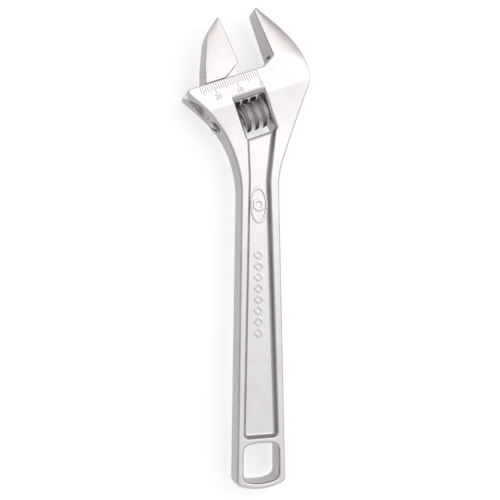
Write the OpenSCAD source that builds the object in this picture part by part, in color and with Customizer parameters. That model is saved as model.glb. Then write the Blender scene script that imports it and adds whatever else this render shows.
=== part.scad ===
// Adjustable wrench, 200 mm size: forged body, sliding jaw, worm, worm pin and spring.
// Lies flat with its front face up (+Z); +Y runs along the handle towards the jaws.
// Origin: middle of the bounding box in X and Y, at the rest plane in Z.
// Head frame: X runs along the rail towards the fixed jaw, Y runs up the jaw faces, and its
// origin is the foot of the fixed jaw's face, level with the rail, on the middle plane.

/* [Overall] */
// Length from the end of the handle to the tip of the fixed jaw
length = 200; // [200:1:202]
// Angle between the handle and the jaw faces, in degrees
head_angle = 22.5; // [22:0.5:23]
// Opening between the jaws as stored
opening = 16; // [10:1:20]

/* [Head] */
// Thickness of the head at the rail
head_t = 12.8; // [12.8:0.1:13.4]
// Height of the thick band, from the rail down to the crease
band_h = 11; // [11:0.5:12]
// Run of the hollow slope that thins the head down to the handle
slope_run = 22; // [18:1:26]
// Thickness that a jaw loses for each millimetre towards its tip
jaw_taper = 0.22; // [0.16:0.01:0.24]
// Angle between the throat bevels and the rail, in degrees
throat_angle = 30; // [25:1:35]
// Height of the fixed jaw's throat bevel
throat_h = 3.4; // [2.5:0.1:3.8]

/* [Handle] */
// Thickness of the handle
handle_t = 9; // [8.6:0.1:9.4]
// Half width of the handle where it meets the head
handle_w1 = 8.3; // [8:0.1:8.8]
// Half width of the handle at its end
handle_w2 = 10.6; // [10.4:0.1:11]
// Depth of the recessed panel on each face
panel_depth = 2.2; // [1.5:0.1:2.6]
// Height of the raised emblem on the front panel
emblem_h = 0.5; // [0.3:0.1:0.8]
// Half width of the hanging hole
hole_w = 7.5; // [6.8:0.1:7.6]

/* [Sliding jaw] */
// Diameter of the rack bar
bar_d = 8.4; // [8.2:0.1:8.6]
// Depth of the bar's axis below the rail
bar_y = 8.3; // [8.2:0.1:8.5]
// Length of the rack bar
bar_l = 27; // [26:0.5:27]
// Thickness of the neck between the bar and the jaw
neck_t = 4.4; // [4:0.1:4.6]
// Radial clearance of the bar in its channel
bar_clear = 0.08; // [0.06:0.01:0.1]
// Width of the jaw at the rail
jaw_w = 17; // [16:0.5:17.5]

/* [Worm] */
// Diameter over the worm's crests
worm_d = 12.7; // [12.4:0.1:12.7]
// Diameter at the worm's thread root
worm_root_d = 7; // [6.8:0.1:7.2]
// Pitch of the single right-hand thread
pitch = 3.75; // [3.7:0.05:3.8]
// Depth of the worm's axis below the rail
worm_y = 16.9; // [16.8:0.1:17]
// Length of the worm
worm_l = 12.4; // [12:0.1:12.5]

/* [Pin and spring] */
// Diameter of the pin's shank
pin_d = 3.3; // [3:0.1:3.4]
// Diameter of the pin's screw head
pin_head_d = 4.9; // [4.6:0.1:5]
// Wire diameter of the spring
wire_d = 0.6; // [0.5:0.05:0.7]
// Coils in the spring
coils = 3; // [2:1:4]

/* [Hidden] */
$fn = 96;
steel = [0.80, 0.80, 0.81];
steel_dark = [0.55, 0.55, 0.57];
eps = 0.01;
// Corner arcs are a hair larger than tangent, so that they cross their straight sides cleanly
arc_grow = 1.00001;

// Place of the row frame and of the head frame, measured from the middle of the handle's end
axis_x = 4.75;
head_pos = [6.35, length - 23.78];

// Fits of the sliding jaw, and the stop of its channel
slot_half = neck_t / 2 + 0.07;
slot_end = 0.4;
bar_x0 = -opening - 20;
bar_x1 = bar_x0 + bar_l;
channel_end = bar_x1 + opening + 0.6;
jaw_gap = 0.08;

// Window for the worm, as low and high corners in the head frame
win_lo = [-23.8, -26];
win_hi = [-10.2, -10];
win_bevel = 1.9;
win_bevel_z = 1.4;
win_plain = 2;
worm_x0 = win_lo[0] + 0.6;
ridge_x = -18.8;

// Pin and its seats
pin_x0 = -35.3;
pin_head_l = 5.4;
pin_x1 = win_hi[0] + 5.6;
bore_clear = 0.06;
spring_seat_d = 5.9;
spring_seat_l = 3;
spring_d = 4.4;

function unit(v) = v / norm(v);
// A point of the head frame, seen from the middle of the handle's end
function from_head(p) = head_pos + [p[0] * cos(head_angle) - p[1] * sin(head_angle),
                                    p[0] * sin(head_angle) + p[1] * cos(head_angle)];

module at_head() { translate([head_pos[0], head_pos[1], 0]) rotate([0, 0, head_angle]) children(); }
module both_faces() { children(); mirror([0, 0, 1]) children(); }
module along_x(x0, x1, d) { translate([x0, 0, 0]) rotate([0, 90, 0]) cylinder(h = x1 - x0, d = d); }

// The sliver between a corner and the true arc that rounds it, a little past the corner
module sliver(c, u, v, r) {
    half = acos(u * v) / 2;
    t = r / tan(half);
    in = unit(u + v);
    difference() {
        polygon([c - in * 0.3, c + u * t, c + in * r / sin(half), c + v * t]);
        translate(c + in * r / sin(half)) circle(r * arc_grow);
    }
}

// An outline through corners [x, y, r], counter-clockwise, each rounded by a true arc
module rounded(pts) {
    n = len(pts);
    function at(i) = [pts[i % n][0], pts[i % n][1]];
    function into(i) = unit(at(i + n - 1) - at(i));
    function out(i) = unit(at(i + 1) - at(i));
    function convex(i) = into(i)[0] * out(i)[1] - into(i)[1] * out(i)[0] < 0;
    difference() {
        union() {
            polygon([for (p = pts) [p[0], p[1]]]);
            for (i = [0 : n - 1]) if (pts[i][2] > 0 && !convex(i)) sliver(at(i), into(i), out(i), pts[i][2]);
        }
        for (i = [0 : n - 1]) if (pts[i][2] > 0 && convex(i)) sliver(at(i), into(i), out(i), pts[i][2]);
    }
}

module body_outline() {
    tip = from_head([0, 29.2]);
    throat = from_head([0, throat_h]);
    rail_r = from_head([-throat_h / tan(throat_angle), 0]);
    rail_l = from_head([-42.5, 0]);
    rounded([
        [-0.4, -1.5, 24], [handle_w2, 2.6, 2.5],
        [handle_w1 - 0.1, length - 70.6, 38], [22, length - 30.5, 9], [20.6, length - 18.9, 27],
        [10.1, length - 7.9, 70], [tip[0], tip[1], 1.65],
        [throat[0], throat[1], 0.5], [rail_r[0], rail_r[1], 0], [rail_l[0], rail_l[1], 1.4],
        [-handle_w1 - 0.1, length - 58.3, 45], [-handle_w2, 2.6, 2.5]
    ]);
}

// What is cut off one face of the blank: jaw taper, hollow slope below the crease, handle
module face_cuts() {
    z0 = head_t / 2;
    zh = handle_t / 2;
    steps = 8;
    slope = [for (i = [0 : steps]) [-band_h - slope_run * (1 - i / steps), zh + (z0 - zh) * pow(i / steps, 2)]];
    at_head() translate([-130, 0, 0]) rotate([90, 0, 90]) linear_extrude(200)
        polygon(concat([[0, z0], [40, z0 - 20 * jaw_taper], [40, z0 + 5], [-250, z0 + 5], [-250, zh]], slope));
}

// Recessed panel, open at the top into the window
module panel_outline() {
    rounded([
        [-7.55, 20.5, 2.2], [7.3, 20.5, 2.2], [4.2, length - 73.5, 30], [6.8, length - 51.2, 0],
        [-5.88, length - 56.45, 0], [-5.2, length - 72.5, 30]
    ]);
}

module hole_outline() {
    rounded([[-hole_w, 4, 3], [0, 2.2, 20], [hole_w, 4, 3],
             [hole_w, 17.9, 3], [0, 18.9, 30], [-hole_w, 17.9, 3]]);
}

// Worm window with its bevelled rim, which dies out where the face falls away
module window() {
    size = win_hi - win_lo;
    z0 = head_t / 2;
    at_head() {
        translate([0, 0, -z0 - 1]) linear_extrude(head_t + 2)
            rounded([[win_lo[0], win_lo[1], 0.8], [win_hi[0], win_lo[1], 0.8],
                     [win_hi[0], win_hi[1], 0.8], [win_lo[0], win_hi[1], 0.8]]);
        both_faces() {
            low = z0 - win_bevel_z;
            high = z0 + win_bevel_z;
            intersection() {
                translate([win_lo[0] - win_bevel, win_hi[1], 0]) rotate([90, 0, 90])
                    linear_extrude(size[0] + 2 * win_bevel)
                        polygon([[0, low], [win_bevel * 2, high], [-2, high], [-2, low]]);
                rim_sides(size, 9);
            }
            rim_sides(size, 0);
        }
    }
}

module rim_sides(size, extra) {
    z0 = head_t / 2;
    w = size[0] / 2;
    translate([(win_lo[0] + win_hi[0]) / 2, win_hi[1] + extra, 0]) rotate([90, 0, 0])
        linear_extrude(size[1] + extra - win_plain)
            polygon([[-w, z0 - win_bevel_z], [-w - 2 * win_bevel, z0 + win_bevel_z],
                     [w + 2 * win_bevel, z0 + win_bevel_z], [w, z0 - win_bevel_z]]);
}

// Keyhole channel: a bore for the bar, open to the rail through the slot for the neck
module channel() {
    at_head() translate([0, -bar_y, 0]) {
        along_x(-60, channel_end, bar_d + 2 * bar_clear);
        translate([-60, 0, -slot_half]) cube([60 - slot_end, bar_y + throat_h + 2, 2 * slot_half]);
    }
}

module pin_bores() {
    at_head() translate([0, -worm_y, 0]) {
        along_x(-60, pin_x0 + pin_head_l, pin_head_d);
        along_x(pin_x0 + pin_head_l - eps, pin_x1, pin_d);
    }
}

module body() {
    color(steel) translate([axis_x, -length / 2, head_t / 2]) {
        difference() {
            translate([0, 0, -head_t / 2]) linear_extrude(head_t) body_outline();
            both_faces() {
                face_cuts();
                translate([0, 0, handle_t / 2 - panel_depth]) linear_extrude(20) panel_outline();
            }
            translate([0, 0, -20]) linear_extrude(40) hole_outline();
            window();
            channel();
            pin_bores();
        }
        // Raised hexagon nut emblem on the front panel
        translate([-1.2, length - 84, handle_t / 2 - panel_depth - eps]) difference() {
            cylinder(h = emblem_h + eps, r = 4.6, $fn = 6);
            translate([0, 0, -1]) cylinder(h = 3, r = 2.3);
        }
    }
}

module jaw_outline() {
    rounded([
        [-jaw_w, jaw_gap, 0.5], [-8.1, jaw_gap, 0], [0, 4.75, 1], [0, 25.8, 0.7],
        [-8, 19.9, 14], [-13.9, 8, 30]
    ]);
}

// One rack groove, slanted to the worm's lead
module groove() {
    top = 1.15;
    foot = 1.52;
    lead = atan(pitch / (PI * worm_d));
    translate([0, worm_d / 2 + 0.2, 0]) rotate([0, lead, 0]) translate([0, 0, -8]) linear_extrude(16)
        polygon([[-top, 0], [top, 0], [foot, -3.2], [foot, -6], [-foot, -6], [-foot, -3.2]]);
}

module movable_jaw() {
    z0 = head_t / 2;
    color(steel) translate([axis_x, -length / 2, head_t / 2]) at_head() {
        difference() {
            translate([-opening, 0, -z0]) linear_extrude(head_t) jaw_outline();
            both_faces() translate([-60, 0, 0]) rotate([90, 0, 90]) linear_extrude(60)
                polygon([[0, z0], [40, z0 - 20 * jaw_taper], [40, z0 + 5], [0, z0 + 5]]);
        }
        translate([-opening, 0, -neck_t / 2]) linear_extrude(neck_t)
            polygon([[-jaw_w + 0.8, -bar_y], [-0.7, -bar_y], [-0.7, 4], [-6, 4], [-10, 0.5],
                     [-jaw_w + 0.8, 0.5]]);
        rack();
    }
}

// Round bar with rack grooves along its underside
module rack() {
    difference() {
        translate([0, -bar_y, 0]) {
            along_x(bar_x0 + 0.5, bar_x1 - 0.5, bar_d);
            translate([bar_x0, 0, 0]) rotate([0, 90, 0]) cylinder(h = 0.5, d1 = bar_d - 1, d2 = bar_d);
            translate([bar_x1 - 0.5, 0, 0]) rotate([0, 90, 0]) cylinder(h = 0.5, d1 = bar_d, d2 = bar_d - 1);
        }
        for (k = [-4 : 2]) translate([ridge_x + k * pitch, -worm_y, 0]) groove();
    }
}

// Radius of the worm at a fraction of the pitch from the middle of its ridge
function ridge(f) = let (s = max(0, min(1, (0.38 - abs(f)) / 0.15)))
    worm_root_d / 2 + (worm_d - worm_root_d) / 2 * s * s * (3 - 2 * s);

module worm() {
    steps = 40;
    // Turn that puts a ridge at ridge_x on the rack's side
    phase = (worm_x0 - ridge_x) / pitch * 360;
    color(steel_dark) translate([axis_x, -length / 2, head_t / 2]) at_head() translate([worm_x0, -worm_y, 0])
        difference() {
            intersection() {
                rotate([0, 90, 0]) rotate([0, 0, 90 + phase])
                    linear_extrude(height = worm_l, twist = -360 * worm_l / pitch, slices = 80, $fn = steps)
                        polygon([for (i = [0 : steps - 1]) let (f = i / steps)
                            ridge(f > 0.5 ? f - 1 : f) * [cos(360 * f), sin(360 * f)]]);
                translate([worm_l / 2, 0, 0]) rotate([0, 90, 0]) union() {
                    cylinder(h = worm_l - 2.4, d = worm_d + 1, center = true);
                    for (m = [0, 1]) mirror([0, 0, m])
                        translate([0, 0, worm_l / 2 - 1.2])
                            cylinder(h = 1.2, d1 = worm_d + 1, d2 = worm_d - 2.6);
                }
            }
            along_x(-1, worm_l + 1, pin_d + 2 * bore_clear);
            along_x(worm_l - spring_seat_l, worm_l + 1, spring_seat_d);
        }
}

module worm_pin() {
    color(steel_dark) translate([axis_x, -length / 2, head_t / 2]) at_head() translate([0, -worm_y, 0])
        difference() {
            union() {
                along_x(pin_x0, pin_x0 + pin_head_l, pin_head_d);
                along_x(pin_x0 + pin_head_l - eps, pin_x1, pin_d);
            }
            rotate([35, 0, 0]) translate([pin_x0 - 1, -0.4, -4]) cube([2, 0.8, 8]);
        }
}

// Ring of points round the spring's wire at a turn of a degrees
function wire_ring(a, x, n) = [for (i = [0 : n - 1]) let (w = 360 * i / n,
    r = spring_d / 2 + wire_d / 2 * cos(w)) [x + wire_d / 2 * sin(w), r * cos(a), r * sin(a)]];

module spring() {
    n = 12;
    steps = coils * 24;
    x0 = worm_x0 + worm_l - spring_seat_l + wire_d / 2 + 0.15;
    x1 = win_hi[0] - wire_d / 2;
    pts = [for (i = [0 : steps]) each wire_ring(360 * coils * i / steps, x0 + (x1 - x0) * i / steps, n)];
    sides = [for (i = [0 : steps - 1], j = [0 : n - 1]) let (k = (j + 1) % n)
        [i * n + j, i * n + k, (i + 1) * n + k, (i + 1) * n + j]];
    color(steel_dark) translate([axis_x, -length / 2, head_t / 2]) at_head() translate([0, -worm_y, 0])
        polyhedron(pts, concat(sides, [[for (j = [n - 1 : -1 : 0]) j],
                                       [for (j = [0 : n - 1]) steps * n + j]]));
}

body();
movable_jaw();
worm();
worm_pin();
spring();
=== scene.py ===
"""Looks of the adjustable wrench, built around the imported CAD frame.

Shapes are worked out in millimetres in the shape frame: x across the handle, y along it towards the jaws,
z out of the front face, with the origin in the middle of the handle's end. The head frame is turned by
HEAD_ANGLE about z: its x runs along the rail towards the fixed jaw, its y runs up the jaw faces, and its
origin is the foot of the fixed jaw's face. Forged pieces are distance fields, negative inside, that are
turned into meshes, so that every edge and hollow has its real rounding.
"""
import math

import bmesh
import bpy
import numpy as np
import openvdb
from mathutils import Matrix, Vector


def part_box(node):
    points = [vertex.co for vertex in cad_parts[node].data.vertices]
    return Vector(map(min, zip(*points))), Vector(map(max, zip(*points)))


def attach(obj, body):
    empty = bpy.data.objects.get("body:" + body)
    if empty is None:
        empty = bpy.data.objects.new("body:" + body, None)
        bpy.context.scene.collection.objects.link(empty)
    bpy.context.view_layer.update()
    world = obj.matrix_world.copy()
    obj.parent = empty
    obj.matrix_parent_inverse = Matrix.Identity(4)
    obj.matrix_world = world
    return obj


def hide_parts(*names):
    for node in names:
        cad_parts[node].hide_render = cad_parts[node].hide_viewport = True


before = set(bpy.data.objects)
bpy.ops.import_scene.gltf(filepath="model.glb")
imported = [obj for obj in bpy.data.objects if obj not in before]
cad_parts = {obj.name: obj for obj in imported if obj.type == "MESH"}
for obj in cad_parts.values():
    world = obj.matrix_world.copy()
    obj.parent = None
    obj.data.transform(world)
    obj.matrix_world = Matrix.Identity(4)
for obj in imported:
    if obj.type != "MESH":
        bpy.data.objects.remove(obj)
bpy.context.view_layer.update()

MM = 0.001

# Overall
LENGTH = 200.0
AXIS_X = 4.75
HEAD_ANGLE = math.radians(22.5)
HEAD_T = (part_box("body")[1].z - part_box("body")[0].z) / MM
HEAD_AT = (6.35, LENGTH - 23.78)

# Head
BAND_H = 11.0
SLOPE_RUN = 22.0
JAW_TAPER = 0.11
THROAT_H = 3.4
THROAT_RUN = THROAT_H / math.tan(math.radians(30))
HEAD_EDGE = 0.45
BODY_DOME = 1.2

# Handle
HANDLE_T = 9.0
HANDLE_W1 = 8.3
HANDLE_W2 = 10.6
PANEL_DEPTH = 2.2
PANEL_DRAFT = 0.5
PANEL_EDGE = 0.5
PANEL_FOOT = 0.7
HOLE_W = 7.5
HOLE_EDGE = 0.9
HANDLE_EDGE = 1.2

# Raised trim on the front panel
TRIM_H = 0.45
NUT_AT = (-0.4, LENGTH - 84)
NUT_HALF = 2.5
NUT_BORE = 1.35
RING_HALF = 3.25
RING_STRETCH = 0.46
RING_WIRE = 0.25
LOZENGE_COUNT = 8
LOZENGE_AT = (-0.5, LENGTH - 104.9)
LOZENGE_PITCH = 4.6

# Sliding jaw
OPENING = 16.0
BAR_D = 8.4
BAR_Y = 8.3
BAR_L = 27.0
BAR_OUT = 20.0
NECK_T = 4.4
BAR_CLEAR = 0.08
JAW_W = 17.0
JAW_GAP = 0.08
JAW_DOME = 0.6
JAW_EDGE = 0.4
SLOT_CLEAR = 0.07
SLOT_END = 0.9
SLOT_TOP = 4.4
CHANNEL_SPARE = 0.6

# Worm, its window and its pin
PITCH = 3.75
WORM_D = 12.7
WORM_ROOT_D = 7.0
WORM_Y = 16.9
WORM_L = 12.4
WINDOW_LO = (-23.8, -26.0)
WINDOW_HI = (-10.2, -10.0)
WINDOW_BEVEL = 1.9
WINDOW_BEVEL_Z = 1.4
SIDE_BEVEL = 0.95
WINDOW_CORNER = 0.8
WINDOW_EDGE = 0.25
WORM_X0 = WINDOW_LO[0] + 0.6
RIDGE_X = -18.8
PIN_D = 3.3
PIN_HEAD_D = 4.9
PIN_HEAD_L = 5.4
PIN_X0 = -35.3
PIN_X1 = WINDOW_HI[0] + 5.6
SPRING_SEAT_D = 5.9
SPRING_SEAT_L = 3.0
SPRING_D = 4.4
WIRE_D = 0.6
COILS = 3
CREST = 0.25
KNURL_DEPTH = 0.05
KNURL_NOTCHES = 80

# Scale on the front of the head
SCALE_ZERO_X = -10.2
SCALE_LINES = 26
LINE_W = 0.24
LINE_TALL = {1: 3.1, 5: 4.0, 10: 4.9}
LINE_INSET = 0.35
NUMERAL_Y = -6.6
NUMERAL_SIZE = 2.9
MARK_DEPTH = 0.16
POINTER_X = -26.2


# ---------------------------------------------------------------- frames

def from_head(x, y):
    """A point of the head frame, in the shape frame."""
    c, s = math.cos(HEAD_ANGLE), math.sin(HEAD_ANGLE)
    return HEAD_AT[0] + x * c - y * s, HEAD_AT[1] + x * s + y * c


SHAPE_TO_ROW = Matrix.Translation(Vector((AXIS_X, -LENGTH / 2, HEAD_T / 2)) * MM) @ Matrix.Scale(MM, 4)
HEAD_TO_ROW = SHAPE_TO_ROW @ Matrix.Translation((*HEAD_AT, 0)) @ Matrix.Rotation(HEAD_ANGLE, 4, "Z")


# ---------------------------------------------------------------- distance fields

def rounded(corners):
    """Points of an outline through corners (x, y, radius), counter-clockwise, with each corner an arc."""
    pts = np.array([c[:2] for c in corners], float)
    out = []
    for i, (x, y, r) in enumerate(corners):
        p = pts[i]
        if not r:
            out.append(p)
            continue
        a, b = pts[i - 1] - p, pts[(i + 1) % len(pts)] - p
        a, b = a / np.linalg.norm(a), b / np.linalg.norm(b)
        half = math.acos(np.clip(a @ b, -1, 1)) / 2
        centre = p + (a + b) / np.linalg.norm(a + b) * r / math.sin(half)
        start, stop = p + a * r / math.tan(half) - centre, p + b * r / math.tan(half) - centre
        a0 = math.atan2(start[1], start[0])
        turn = (math.atan2(stop[1], stop[0]) - a0 + math.pi) % (2 * math.pi) - math.pi
        steps = max(3, math.ceil(abs(turn) / math.acos(1 - min(0.004 / r, 0.5)) / 2))
        for k in range(steps + 1):
            t = a0 + turn * k / steps
            out.append(centre + r * np.array((math.cos(t), math.sin(t))))
    return np.array(out)


def outline(poly, x, y):
    """Signed distance to a closed outline over a grid of x (n, 1, 1) and y (1, n, 1)."""
    best = np.full(np.broadcast(x, y).shape, 1e12)
    inside = np.zeros(best.shape, bool)
    for (ax, ay), (bx, by) in zip(poly, np.roll(poly, -1, 0)):
        ex, ey = bx - ax, by - ay
        px, py = x - ax, y - ay
        t = np.clip((px * ex + py * ey) / (ex * ex + ey * ey), 0, 1)
        best = np.minimum(best, (px - t * ex) ** 2 + (py - t * ey) ** 2)
        if ay != by:
            inside ^= ((ay > y) != (by > y)) & (x < (bx - ax) * (y - ay) / (by - ay) + ax)
    return (np.where(inside, -1, 1) * np.sqrt(best)).astype(np.float32)


def both(a, b, r):
    """What lies in a and in b, with the edge between them rounded to radius r."""
    return np.minimum(np.maximum(a, b), -r) + np.hypot(np.maximum(a + r, 0), np.maximum(b + r, 0))


def without(a, b, r):
    """a less b, with the edge rounded to radius r."""
    return both(a, -b, r)


def either(a, b, r):
    """What lies in a or in b, with the corner between them filled to radius r."""
    return -both(-a, -b, r)


def smoothstep(a, b, x):
    """Rises smoothly from 0 at a to 1 at b."""
    t = np.clip((x - a) / (b - a), 0, 1)
    return t * t * (3 - 2 * t)


def soft_min(a, b, k):
    """The smaller of a and b, blended where they are within k of each other."""
    h = np.clip(0.5 + (b - a) / (2 * k), 0, 1)
    return b - (b - a) * h - k * h * (1 - h)


def axes_of(lo, hi, step):
    """Coordinates of a grid's points along x, y and z, shaped to broadcast."""
    grids = [np.arange(a, b + step, step, dtype=np.float32) for a, b in zip(lo, hi)]
    return grids[0][:, None, None], grids[1][None, :, None], grids[2][None, None, :]


def linked(name, data):
    """A new object that holds the data, linked to the scene."""
    obj = bpy.data.objects.new(name, data)
    bpy.context.scene.collection.objects.link(obj)
    return obj


def surface(name, field, lo, step, to_row):
    """The mesh object of a distance field's zero surface, in the row frame."""
    grid = openvdb.FloatGrid(4 * step)
    grid.copyFromArray(np.ascontiguousarray(np.clip(field, -4 * step, 4 * step), dtype=np.float32))
    points, triangles, quads = grid.convertToPolygons(isovalue=0.0, adaptivity=0.0)
    points = points * step + np.array(lo)
    mesh = bpy.data.meshes.new(name)
    mesh.from_pydata(points.tolist(), [], [*map(list, triangles[:, ::-1]), *map(list, quads[:, ::-1])])
    mesh.transform(to_row)
    return finished(name, mesh)


def finished(name, mesh, sharp=math.radians(40)):
    """Links a mesh, with its normals facing out, smooth but for edges sharper than the angle given."""
    bm = bmesh.new()
    bm.from_mesh(mesh)
    bmesh.ops.recalc_face_normals(bm, faces=bm.faces)
    if bm.calc_volume(signed=True) < 0:
        bmesh.ops.reverse_faces(bm, faces=bm.faces)
    bm.to_mesh(mesh)
    bm.free()
    mesh.shade_smooth()
    mesh.set_sharp_from_angle(angle=sharp)
    return linked(name, mesh)


# ---------------------------------------------------------------- body

# Corners of the side that runs from the handle up round the fixed jaw's back
OUTER_SIDE = [
    (HANDLE_W1 - 0.1, LENGTH - 70.6, 38), (22, LENGTH - 30.5, 9), (20.6, LENGTH - 18.9, 27),
    (10.1, LENGTH - 7.9, 70),
]


def body_outline():
    """The forging's outline, in the shape frame."""
    rail_end = from_head(-42.5, 0)
    return rounded([
        (-0.4, -1.5, 24), (HANDLE_W2, 2.6, 2.5), *OUTER_SIDE, (*from_head(0, 29.2), 1.65),
        (*from_head(0, THROAT_H), 0.5), (*from_head(-THROAT_RUN, 0), 0), (*rail_end, 1.4),
        (-HANDLE_W1 - 0.1, LENGTH - 58.3, 45), (-HANDLE_W2, 2.6, 2.5),
    ])


def panel_outline():
    return rounded([
        (-7.55, 20.5, 2.2), (7.3, 20.5, 2.2), (4.2, LENGTH - 73.5, 30), (6.8, LENGTH - 51.2, 0),
        (-5.88, LENGTH - 56.45, 0), (-5.2, LENGTH - 72.5, 30),
    ])


def hole_outline():
    return rounded([
        (-HOLE_W, 4, 3), (0, 2.2, 20), (HOLE_W, 4, 3), (HOLE_W, 17.9, 3), (0, 18.9, 30), (-HOLE_W, 17.9, 3),
    ])


def head_height(hy):
    """Height of the front face above the middle plane, by place up the head: taper, band, slope, handle."""
    top = HEAD_T / 2
    taper = top - JAW_TAPER * hy
    drop = top - HANDLE_T / 2
    down = np.clip((-BAND_H - hy) / SLOPE_RUN, -1, 1)
    slope = np.where(down < 0, top - 2 * down * drop, top - drop * (1 - (1 - down) ** 2))
    return soft_min(soft_min(taper, top, 0.35), slope, 0.03)


def dome(outer, inner, hy, depth):
    """How far a jaw's face falls towards its outer side.

    outer is the field of that side, and inner is the distance to the jaw's inner face.
    """
    edge = np.maximum(-outer, 0)
    share = np.clip(edge / (edge + np.maximum(inner, 0) + 0.01), 0, 1)
    return depth * (1 - share) ** 3 * smoothstep(-12, 4, hy) * smoothstep(-1, 3, inner)


def body_field(x, y, z):
    """The forging: handle, head and fixed jaw, with all that is cut out of them."""
    c, s = math.cos(HEAD_ANGLE), math.sin(HEAD_ANGLE)
    dx, dy = x - HEAD_AT[0], y - HEAD_AT[1]
    hx, hy = dx * c + dy * s, dy * c - dx * s
    az = np.abs(z)

    around = outline(body_outline(), x, y)
    face = head_height(hy)
    outer = outline(rounded([
        (-80, 60, 0), (HANDLE_W1, 60, 0), *OUTER_SIDE, (-64.8, LENGTH + 47.8, 0), (-80, LENGTH + 47.8, 0),
    ]), x, y)
    face = face - dome(outer, hx, hy, BODY_DOME)
    on_handle = smoothstep(-4, -24, hy)
    solid = both(around, az - face, HEAD_EDGE + (HANDLE_EDGE - HEAD_EDGE) * on_handle)

    panel = outline(panel_outline(), x, y) + PANEL_DRAFT * (HANDLE_T / 2 - az)
    hollow = both(panel, HANDLE_T / 2 - PANEL_DEPTH - az, PANEL_FOOT)
    solid = without(solid, hollow, PANEL_EDGE)
    solid = either(solid, ornament(x, y, z), 0.1)

    solid = without(solid, outline(hole_outline(), x, y) + 0 * az, HOLE_EDGE)

    mid = [(a + b) / 2 for a, b in zip(WINDOW_LO, WINDOW_HI)]
    half = [(b - a) / 2 for a, b in zip(WINDOW_LO, WINDOW_HI)]
    qx = np.abs(hx - mid[0]) - half[0] + WINDOW_CORNER
    qy = np.abs(hy - mid[1]) - half[1] + WINDOW_CORNER
    window = np.hypot(np.maximum(qx, 0), np.maximum(qy, 0)) + np.minimum(np.maximum(qx, qy), 0)
    window = window - WINDOW_CORNER
    lean = WINDOW_BEVEL / WINDOW_BEVEL_Z
    rim_top = (hy - WINDOW_HI[1] - (az - HEAD_T / 2 + WINDOW_BEVEL_Z) * lean) / math.hypot(1, lean)
    rim_side = (np.abs(hx - mid[0]) - half[0] - (az - face + SIDE_BEVEL)) / math.sqrt(2)
    rim = np.maximum(np.maximum(rim_top, rim_side), WINDOW_LO[1] - hy)
    solid = without(solid, window + 0 * az, WINDOW_EDGE)
    solid = without(solid, rim, WINDOW_EDGE)

    bar = np.hypot(hy + BAR_Y, z) - BAR_D / 2 - BAR_CLEAR
    bar = np.maximum(bar, hx - (BAR_L - BAR_OUT + CHANNEL_SPARE))
    slot = np.maximum(np.maximum(az - NECK_T / 2 - SLOT_CLEAR, hx - SLOT_END),
                      np.maximum(-BAR_Y - hy, hy - SLOT_TOP))
    solid = without(solid, np.minimum(bar, slot), 0.3)

    from_pin = np.hypot(hy + WORM_Y, z)
    bore = np.minimum(np.maximum(from_pin - PIN_HEAD_D / 2, hx - PIN_X0 - PIN_HEAD_L),
                      np.maximum(from_pin - PIN_D / 2, hx - PIN_X1))
    return without(solid, bore, 0.3)


def ornament(x, y, z):
    """Raised trim on the front panel's floor: a hexagon nut in a long ring, and a row of lozenges."""
    floor = HANDLE_T / 2 - PANEL_DEPTH
    px, py = np.abs(x - NUT_AT[0]), np.abs(y - NUT_AT[1])
    hexagon = np.maximum(px * 0.5 + py * 0.866, px) - NUT_HALF
    trim = np.maximum(hexagon, NUT_BORE - np.hypot(px, py))
    trim = np.minimum(trim, np.abs(np.hypot(px, py * RING_STRETCH) - RING_HALF) - RING_WIRE)
    for k in range(LOZENGE_COUNT):
        qx, qy = np.abs(x - LOZENGE_AT[0]), np.abs(y - (LOZENGE_AT[1] - LOZENGE_PITCH * k))
        lozenge = (qx * 1.9 + qy * 2.1) / 2.83 - 1.5
        trim = np.minimum(trim, np.maximum(lozenge, -(lozenge + 0.6)))
    return np.maximum(trim + 0 * z, np.maximum(z - floor - TRIM_H, floor - 1 - z))


def make_body():
    step = 0.25
    lo, hi = (-32.5, -1.0, -7.06), (23.0, 201.0, 7.0)
    x, y, z = axes_of(lo, hi, step)
    return surface("body_forging", body_field(x, y, z), lo, step, SHAPE_TO_ROW)


# ---------------------------------------------------------------- sliding jaw

def jaw_field(x, y, z):
    """The jaw with its neck and rack bar, in the head frame."""
    az = np.abs(z)
    back = [(-8.0, 19.9, 14), (-13.9, 8.0, 30)]
    around = outline(rounded([
        (-JAW_W, JAW_GAP, 0.5), (-8.1, JAW_GAP, 0), (0, 4.75, 1), (0, 25.8, 0.7), *back,
    ]) - np.array((OPENING, 0)), x, y)
    outer = outline(rounded([(-32.7, -40, 0), (40, -40, 0), (40, 55.3, 0), *back])
                    - np.array((OPENING, 0)), x, y)
    face = HEAD_T / 2 - JAW_TAPER * y
    face = face - dome(outer, -OPENING - x, y + 5, JAW_DOME)
    plate = both(around, az - face, JAW_EDGE)
    beside = np.abs(x + OPENING + JAW_W / 2 + 0.05) - JAW_W / 2 + 0.75
    neck_top = np.clip(0.5 + (x + OPENING + 10) * 0.875, 0.5, 4)
    neck = np.maximum(np.maximum(az - NECK_T / 2, beside), np.maximum(-BAR_Y - y, y - neck_top))
    x0 = -OPENING - BAR_OUT
    bar = both(np.hypot(y + BAR_Y, z) - BAR_D / 2, np.abs(x - x0 - BAR_L / 2) - BAR_L / 2, 0.5)
    solid = either(plate, np.minimum(neck, bar), 0.15)
    lead = math.atan(PITCH / (math.pi * WORM_D))
    along = (x - math.tan(lead) * z - RIDGE_X + PITCH / 2) % PITCH - PITCH / 2
    top = -WORM_Y + WORM_D / 2 + 0.2
    width = 1.15 + np.clip(top - y, 0, 3.2) * 0.115
    groove = np.maximum(np.abs(along) * math.cos(lead) - width, y - top)
    groove = np.maximum(groove, np.abs(x - RIDGE_X + PITCH) - 3.5 * PITCH)
    return without(solid, groove, 0.2)


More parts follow.
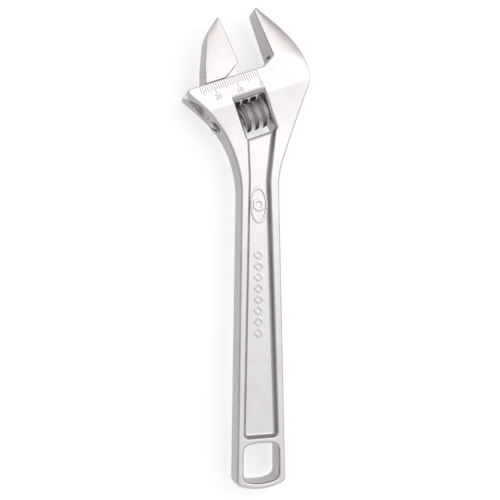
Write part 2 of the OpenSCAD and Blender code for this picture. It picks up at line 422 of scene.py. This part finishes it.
def make_jaw():
    step = 0.2
    lo, hi = (-39.0, -13.5, -7.0), (-8.0, 27.0, 7.0)
    x, y, z = axes_of(lo, hi, step)
    return surface("jaw_forging", jaw_field(x, y, z), lo, step, HEAD_TO_ROW)


# ---------------------------------------------------------------- worm, pin, spring

def about_pin(x, radius, angle):
    """A point of the head frame at a radius and an angle about the pin's axis."""
    return x, -WORM_Y + radius * math.cos(angle), radius * math.sin(angle)


def ring_mesh(name, rings, to_row, closed):
    """A mesh through rings of equal length: the last joins the first if closed, else the ends are capped."""
    n = len(rings[0])
    points = [p for ring in rings for p in ring]
    count = len(rings)
    faces = []
    for i in range(count if closed else count - 1):
        a, b = i * n, (i + 1) % count * n
        faces += [(a + j, a + (j + 1) % n, b + (j + 1) % n, b + j) for j in range(n)]
    if not closed:
        faces += [tuple(range(n))[::-1], tuple((count - 1) * n + j for j in range(n))]
    mesh = bpy.data.meshes.new(name)
    mesh.from_pydata(points, [], faces)
    mesh.transform(to_row)
    return finished(name, mesh, math.radians(50))


def ridge_radius(f):
    """Radius of the worm at a fraction of the pitch from the middle of its ridge."""
    s = min(1.0, max(0.0, (0.43 - abs(f)) / 0.18))
    crown = 0.22 * (f / 0.25) ** 2
    return WORM_ROOT_D / 2 + (WORM_D / 2 - crown - WORM_ROOT_D / 2) * s * s * (3 - 2 * s)


def make_worm():
    """The thumb worm: one right-hand ridge round a hub, chamfered ends, bore and spring seat."""
    around, along = 320, 130
    turns = [j / around - 0.25 for j in range(around)]
    rings = []
    for i in range(along + 1):
        x = WORM_L * i / along
        limit = WORM_D / 2 - max(0.0, 1.0 - min(x, WORM_L - x)) * 1.35
        ring = []
        for turn in turns:
            f = (WORM_X0 + x - (RIDGE_X + PITCH * turn)) / PITCH
            f -= round(f)
            r = min(ridge_radius(f), limit)
            if abs(f) < CREST:
                r -= KNURL_DEPTH * (1 + math.cos(2 * math.pi * KNURL_NOTCHES * (turn + 0.25)))
            ring.append(about_pin(WORM_X0 + x, r, 2 * math.pi * turn))
        rings.append(ring)
    seat, seat_r = WORM_L - SPRING_SEAT_L, SPRING_SEAT_D / 2
    bore, bevel = PIN_D / 2 + 0.06, 0.25
    inside = [(WORM_L, seat_r + bevel), (WORM_L - bevel, seat_r), (seat, seat_r),
              (seat, bore), (bevel, bore), (0, bore + bevel)]
    rings += [[about_pin(WORM_X0 + x, r, 2 * math.pi * turn) for turn in turns] for x, r in inside]
    return ring_mesh("worm_thread", rings, HEAD_TO_ROW, True)


def make_pin():
    """The pin: slotted screw head with its thread, and a plain shank with a rounded end."""
    head_r, r, c = PIN_HEAD_D / 2, PIN_D / 2, 0.3
    profile = [(PIN_X0, 0.02), (PIN_X0, head_r - c), (PIN_X0 + c, head_r)]
    for k in range(7):
        x = PIN_X0 + 0.9 + k * 0.6
        profile += [(x, head_r), (x + 0.2, head_r - 0.25), (x + 0.4, head_r)]
    profile += [(PIN_X0 + PIN_HEAD_L, head_r), (PIN_X0 + PIN_HEAD_L, r), (PIN_X1 - c, r), (PIN_X1, r - c),
                (PIN_X1, 0.02)]
    around = 72
    rings = [[about_pin(x, q, 2 * math.pi * j / around) for j in range(around)] for x, q in profile]
    pin = ring_mesh("pin_screw", rings, HEAD_TO_ROW, False)
    slot_turn = Matrix.Rotation(math.radians(125), 4, "X")
    slot_at = HEAD_TO_ROW @ Matrix.Translation((PIN_X0, -WORM_Y, 0)) @ slot_turn
    slot = block("pin_slot", (2.4, 8, 0.8), slot_at)
    cut(pin, slot)
    return pin


def make_spring():
    """The spring in the worm's seat: a wire swept round its coils, with closed flat ends."""
    x0 = WORM_X0 + WORM_L - SPRING_SEAT_L + WIRE_D / 2 + 0.15
    x1 = WINDOW_HI[0] - WIRE_D / 2 - 0.02
    steps, sides = COILS * 60, 14
    rings = []
    for i in range(steps + 1):
        t = i / steps
        a = 2 * math.pi * COILS * t
        ring = []
        for j in range(sides):
            w = 2 * math.pi * j / sides
            r = SPRING_D / 2 + WIRE_D / 2 * math.cos(w)
            ring.append(about_pin(x0 + (x1 - x0) * t + WIRE_D / 2 * math.sin(w), r, a))
        rings.append(ring)
    return ring_mesh("spring_wire", rings, HEAD_TO_ROW, False)


# ---------------------------------------------------------------- cut marks

def block(name, size, to_row):
    """A closed cuboid about its middle, as a cutter."""
    bm = bmesh.new()
    bmesh.ops.create_cube(bm, size=1.0, matrix=Matrix.Diagonal((*size, 1)))
    mesh = bpy.data.meshes.new(name)
    bm.to_mesh(mesh)
    bm.free()
    mesh.transform(to_row)
    return linked(name, mesh)


def figure(name, text, size, to_row):
    """A solid numeral for cutting, centred on its middle."""
    curve = bpy.data.curves.new(name, "FONT")
    curve.body, curve.size = text, size
    curve.align_x, curve.align_y = "CENTER", "CENTER"
    curve.extrude, curve.resolution_u = MARK_DEPTH, 6
    obj = linked(name, curve)
    bpy.context.view_layer.update()
    mesh = bpy.data.meshes.new_from_object(obj)
    bpy.data.objects.remove(obj)
    bm = bmesh.new()
    bm.from_mesh(mesh)
    bmesh.ops.remove_doubles(bm, verts=bm.verts, dist=1e-4)
    bm.to_mesh(mesh)
    bm.free()
    mesh.transform(to_row)
    return linked(name, mesh)


def cut(target, *cutters):
    """Subtracts closed cutters from a closed mesh and applies the result."""
    for cutter in cutters:
        m = target.modifiers.new("cut", "BOOLEAN")
        m.operation, m.solver, m.object = "DIFFERENCE", "MANIFOLD", cutter
    bpy.context.view_layer.update()
    evaluated = target.evaluated_get(bpy.context.evaluated_depsgraph_get())
    mesh = bpy.data.meshes.new_from_object(evaluated)
    target.modifiers.clear()
    target.data = mesh
    mesh.shade_smooth()
    mesh.set_sharp_from_angle(angle=math.radians(40))
    for cutter in cutters:
        bpy.data.objects.remove(cutter)


def joined(name, objects):
    """One object that holds the meshes of several that don't touch."""
    bm = bmesh.new()
    for o in objects:
        bm.from_mesh(o.data)
        bpy.data.objects.remove(o)
    mesh = bpy.data.meshes.new(name)
    bm.to_mesh(mesh)
    bm.free()
    return linked(name, mesh)


def on_face(x, y, z=HEAD_T / 2):
    """Place on the head's front face, in the head frame."""
    return HEAD_TO_ROW @ Matrix.Translation((x, y, z))


def cut_scale(body):
    """Millimetre lines down from the rail, longer at each fifth and tenth, with their numerals."""
    marks = []
    for k in range(SCALE_LINES + 1):
        tall = LINE_TALL[10 if k % 10 == 0 else 5 if k % 5 == 0 else 1]
        at = on_face(SCALE_ZERO_X - k, -tall / 2 - LINE_INSET)
        marks.append(block(f"line_{k}", (LINE_W, tall, 2 * MARK_DEPTH), at))
    for k in (0, 10, 20):
        at = on_face(SCALE_ZERO_X - k + 0.1, NUMERAL_Y)
        marks.append(figure(f"numeral_{k}", str(k), NUMERAL_SIZE, at))
    cut(body, joined("marks", marks))


def cut_pointer(jaw):
    """The zero and its pointer, at the foot of the jaw's front face.

    The dome lowers the face here by about MARK_DEPTH, so the marks only graze it.
    """
    tilt = Matrix.Rotation(math.atan(JAW_TAPER), 4, "X")

    def at(x, y):
        return on_face(x, y, HEAD_T / 2 - JAW_TAPER * y) @ tilt

    marks = [figure("pointer_zero", "0", 2.0, at(POINTER_X, 3.2))]
    for side in (-1, 1):
        lean = Matrix.Rotation(math.radians(24) * side, 4, "Z")
        foot = at(POINTER_X - side * 0.42, 1.15) @ lean
        marks.append(block("pointer_line", (0.2, 1.5, 2 * MARK_DEPTH), foot))
    for mark in marks:
        cut(jaw, mark)


# ---------------------------------------------------------------- materials

def node(tree, kind, at, **inputs):
    """A new node, with input sockets set by name; an underscore stands for a space."""
    n = tree.nodes.new(kind)
    n.location = at
    for name, value in inputs.items():
        n.inputs[name.replace("_", " ")].default_value = value
    return n


def steel(name, colour, dark, roughness, spread, grain, grain_size, streak=0.0, side=None, metal=1.0):
    """Plated steel: slow colour and gloss drift, fine blasted grain and a slightly brighter colour on convex
    edges.

    streak is the share of fine polishing lines along the handle, and side is a darker colour painted on the
    walls that stand square to the faces, as painted shade.
    """
    mat = bpy.data.materials.new(name)
    mat.use_nodes = True
    t = mat.node_tree
    t.nodes.clear()
    out = node(t, "ShaderNodeOutputMaterial", (900, 0))
    bsdf = node(t, "ShaderNodeBsdfPrincipled", (620, 0), Metallic=metal)
    t.links.new(bsdf.outputs["BSDF"], out.inputs["Surface"])
    coords = node(t, "ShaderNodeTexCoord", (-900, 0)).outputs["Object"]

    drift = node(t, "ShaderNodeTexNoise", (-640, 260), Scale=90.0, Detail=3.0, Roughness=0.55)
    t.links.new(coords, drift.inputs["Vector"])
    tint = node(t, "ShaderNodeMix", (-60, 260))
    tint.data_type = "RGBA"
    tint.inputs["A"].default_value, tint.inputs["B"].default_value = (*dark, 1), (*colour, 1)
    t.links.new(ramp(t, drift.outputs["Fac"], 0.32, 0.62, (-380, 260)), tint.inputs["Factor"])

    # A slightly brighter colour where Pointiness marks convex edges.
    edge = node(t, "ShaderNodeNewGeometry", (-640, 520)).outputs["Pointiness"]
    edge_brightening = node(t, "ShaderNodeMix", (180, 300))
    edge_brightening.data_type = "RGBA"
    edge_brightening.inputs["B"].default_value = (*[min(1.0, c * 1.06) for c in colour], 1)
    t.links.new(ramp(t, edge, 0.51, 0.58, (-380, 520)), edge_brightening.inputs["Factor"])
    t.links.new(tint.outputs["Result"], edge_brightening.inputs["A"])
    colours = edge_brightening.outputs["Result"]
    # Painted shade: walls that stand square to the faces take the darker side colour.
    if side:
        facing = node(t, "ShaderNodeTexCoord", (-900, 760)).outputs["Normal"]
        split = node(t, "ShaderNodeSeparateXYZ", (-640, 760))
        t.links.new(facing, split.inputs["Vector"])
        flat = node(t, "ShaderNodeMath", (-460, 760))
        flat.operation = "ABSOLUTE"
        t.links.new(split.outputs["Z"], flat.inputs[0])
        finish = node(t, "ShaderNodeMix", (400, 300))
        finish.data_type = "RGBA"
        finish.inputs["A"].default_value = (*side, 1)
        t.links.new(ramp(t, flat.outputs["Value"], 0.45, 0.85, (-220, 760)), finish.inputs["Factor"])
        t.links.new(colours, finish.inputs["B"])
        colours = finish.outputs["Result"]
    t.links.new(colours, bsdf.inputs["Base Color"])

    smudge = node(t, "ShaderNodeTexNoise", (-640, 0), Scale=260.0, Detail=5.0, Roughness=0.6)
    t.links.new(coords, smudge.inputs["Vector"])
    gloss = node(t, "ShaderNodeMapRange", (-380, 0))
    gloss.inputs["To Min"].default_value = roughness - spread
    gloss.inputs["To Max"].default_value = roughness + spread
    t.links.new(smudge.outputs["Fac"], gloss.inputs["Value"])
    t.links.new(gloss.outputs["Result"], bsdf.inputs["Roughness"])

    blast = node(t, "ShaderNodeTexNoise", (-640, -260), Scale=grain_size, Detail=4.0, Roughness=0.65)
    t.links.new(coords, blast.inputs["Vector"])
    height = blast.outputs["Fac"]
    if streak:
        stretch = node(t, "ShaderNodeMapping", (-860, -520))
        stretch.inputs["Scale"].default_value = (5200, 120, 5200)
        t.links.new(coords, stretch.inputs["Vector"])
        lines = node(t, "ShaderNodeTexNoise", (-640, -520), Scale=1.0, Detail=2.0)
        t.links.new(stretch.outputs["Vector"], lines.inputs["Vector"])
        blend = node(t, "ShaderNodeMix", (-380, -380), Factor=streak)
        t.links.new(height, blend.inputs["A"])
        t.links.new(lines.outputs["Fac"], blend.inputs["B"])
        height = blend.outputs["Result"]
    bump = node(t, "ShaderNodeBump", (300, -260), Strength=grain, Distance=0.0001)
    t.links.new(height, bump.inputs["Height"])
    t.links.new(bump.outputs["Normal"], bsdf.inputs["Normal"])
    return mat


def ramp(tree, value, low, high, at):
    """The value spread from low and high to 0 and 1."""
    n = node(tree, "ShaderNodeMapRange", at)
    n.inputs["From Min"].default_value, n.inputs["From Max"].default_value = low, high
    tree.links.new(value, n.inputs["Value"])
    return n.outputs["Result"]


# The side colours below are painted shade on the walls that stand square to the faces.
PLATED = steel("plated_steel", (0.87, 0.86, 0.86), (0.83, 0.81, 0.81), 0.27, 0.05, 0.08, 2600.0, 0.3,
               side=(0.46, 0.435, 0.46))
JAW_PLATED = steel("plated_jaw", (0.87, 0.855, 0.845), (0.81, 0.80, 0.80), 0.28, 0.05, 0.08, 2600.0, 0.3,
                   side=(0.42, 0.385, 0.41))
WORM_STEEL = steel("worm_steel", (0.93, 0.92, 0.92), (0.88, 0.87, 0.88), 0.34, 0.06, 0.12, 3200.0,
                   metal=0.7)
# The knurled crest's dark colour is painted shade for the dark surroundings that it reflects.
WORM_CREST_SHADE = steel("worm_knurl_painted_shade", (0.30, 0.28, 0.29), (0.22, 0.20, 0.21), 0.36, 0.06, 0.25, 3200.0)
PIN_STEEL = steel("pin_steel", (0.58, 0.57, 0.58), (0.47, 0.46, 0.47), 0.36, 0.06, 0.18, 3200.0)
SPRING_STEEL = steel("spring_steel", (0.52, 0.52, 0.54), (0.42, 0.42, 0.44), 0.30, 0.05, 0.10, 3600.0)
# Painted shade: the floors of the cut scale marks take a darker colour, with a rougher surface.
MARK_SHADE = steel("mark_painted_shade", (0.62, 0.59, 0.56), (0.54, 0.51, 0.49), 0.50, 0.06, 0.25, 3600.0)


def paint(obj, material, chosen):
    """Gives a second material, here one with painted shade, to the faces that chosen(middle, normal), in
    head-frame millimetres, picks.
    """
    obj.data.materials.append(material)
    to_head = HEAD_TO_ROW.inverted()
    turn = to_head.to_3x3().normalized()
    for face in obj.data.polygons:
        if chosen(to_head @ face.center, turn @ face.normal):
            face.material_index = len(obj.data.materials) - 1


def is_scale_floor(at, normal):
    """On the floor of a line or figure of the scale, which takes a darker colour as painted shade."""
    return normal.z > 0.999 and abs(at.z - HEAD_T / 2 + MARK_DEPTH) < 0.015 and -9.5 < at.y < 0


def is_crest(at, _normal):
    """On the knurled top of the worm's ridge, which takes a dark colour as painted shade."""
    turn = math.atan2(at.z, at.y + WORM_Y) / (2 * math.pi)
    f = (at.x - RIDGE_X) / PITCH - turn
    return abs(f - round(f)) < CREST and math.hypot(at.y + WORM_Y, at.z) > WORM_D / 2 - 0.9


# ---------------------------------------------------------------- assembly

def place(piece, material, body, node_name):
    """Gives a piece its finish and body, in place of the CAD node that it stands for."""
    piece.data.materials.clear()
    piece.data.materials.append(material)
    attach(piece, body)
    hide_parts(node_name)
    return piece


body = make_body()
jaw = make_jaw()
cut_scale(body)
cut_pointer(jaw)
place(body, PLATED, "wrench", "body")
place(jaw, JAW_PLATED, "jaw", "movable_jaw")
# The floors of the scale marks take painted shade.
paint(body, MARK_SHADE, is_scale_floor)
worm = place(make_worm(), WORM_STEEL, "worm", "worm")
# The worm's crests take painted shade.
paint(worm, WORM_CREST_SHADE, is_crest)
place(make_pin(), PIN_STEEL, "wrench", "worm_pin")
place(make_spring(), SPRING_STEEL, "wrench", "spring")


# ---------------------------------------------------------------- stage

def make_floor():
    bm = bmesh.new()
    bmesh.ops.create_grid(bm, x_segments=8, y_segments=8, size=3.0)
    mesh = bpy.data.meshes.new("floor")
    bm.to_mesh(mesh)
    bm.free()
    floor = linked("floor", mesh)
    floor.location.z = -0.0002
    white = bpy.data.materials.new("floor_white")
    white.use_nodes = True
    sockets = white.node_tree.nodes["Principled BSDF"].inputs
    sockets["Base Color"].default_value = (0.72, 0.72, 0.72, 1)
    sockets["Roughness"].default_value = 0.9
    sockets["Emission Color"].default_value = (1, 1, 1, 1)
    sockets["Emission Strength"].default_value = 0.55
    floor.data.materials.append(white)


def lamp(name, at, towards, size, power, colour):
    """A rectangular light that faces a point, with its first side along the world's x."""
    data = bpy.data.lights.new(name, "AREA")
    data.shape, data.size, data.size_y = "RECTANGLE", size[0], size[1]
    data.energy, data.color = power, colour
    obj = linked(name, data)
    back = (Vector(at) - Vector(towards)).normalized()
    side = Vector((1, 0, 0)) - back * back.x
    side.normalize()
    obj.matrix_world = Matrix.Translation(at) @ Matrix((side, back.cross(side), back)).transposed().to_4x4()


def make_camera():
    """Looks down on the wrench from its left."""
    data = bpy.data.cameras.new("camera")
    data.lens, data.sensor_width = 45.24, 36.0
    data.shift_x, data.shift_y = -0.0117, 0.0045
    data.clip_start, data.clip_end = 0.01, 20.0
    camera = linked("camera", data)
    turn = (Matrix.Rotation(math.radians(-1.12), 3, "Z") @ Matrix.Rotation(math.radians(18.66), 3, "Y")
            @ Matrix.Rotation(math.radians(-3.77), 3, "X")).transposed()
    camera.matrix_world = Matrix.Translation((-0.08023, -0.02011, 0.25486)) @ turn.to_4x4()
    bpy.context.scene.camera = camera


def softbox(name, across, up, distance, size, radiance, colour):
    """A panel of even brightness, at angles across and up (towards the jaws) from straight above."""
    away = Vector((math.tan(math.radians(across)), math.tan(math.radians(up)), 1)).normalized()
    middle = Vector((0, 0.03, 0))
    power = radiance * math.pi * size[0] * size[1]
    lamp(name, middle + away * distance, middle, size, power, colour)


def make_light():
    """A pale world, a broad sky, a fill, and overlapping key boxes whose light grows towards the jaws."""
    scene = bpy.context.scene
    scene.view_settings.view_transform = "Standard"
    world = bpy.data.worlds.new("studio")
    scene.world = world
    world.use_nodes = True
    world.node_tree.nodes["Background"].inputs["Color"].default_value = (0.985, 0.955, 1.0, 1)
    world.node_tree.nodes["Background"].inputs["Strength"].default_value = 0.42
    softbox("sky", 24, 4, 1.2, (1.9, 1.7), 0.44, (1.0, 0.99, 1.0))
    softbox("key_low", 17, 18, 1.15, (1.6, 0.90), 0.12, (1.0, 0.985, 0.97))
    softbox("key_middle", 17, 22, 1.15, (1.6, 0.72), 0.13, (1.0, 0.985, 0.97))
    softbox("key_high", 17, 25, 1.15, (1.6, 0.52), 0.16, (1.0, 0.98, 0.96))
    softbox("warm", 10, 46, 1.1, (1.4, 0.40), 0.30, (1.0, 0.84, 0.74))
    softbox("fill", 5, -62, 1.3, (1.8, 0.8), 0.30, (0.98, 1.0, 0.99))


make_floor()
make_light()
make_camera()
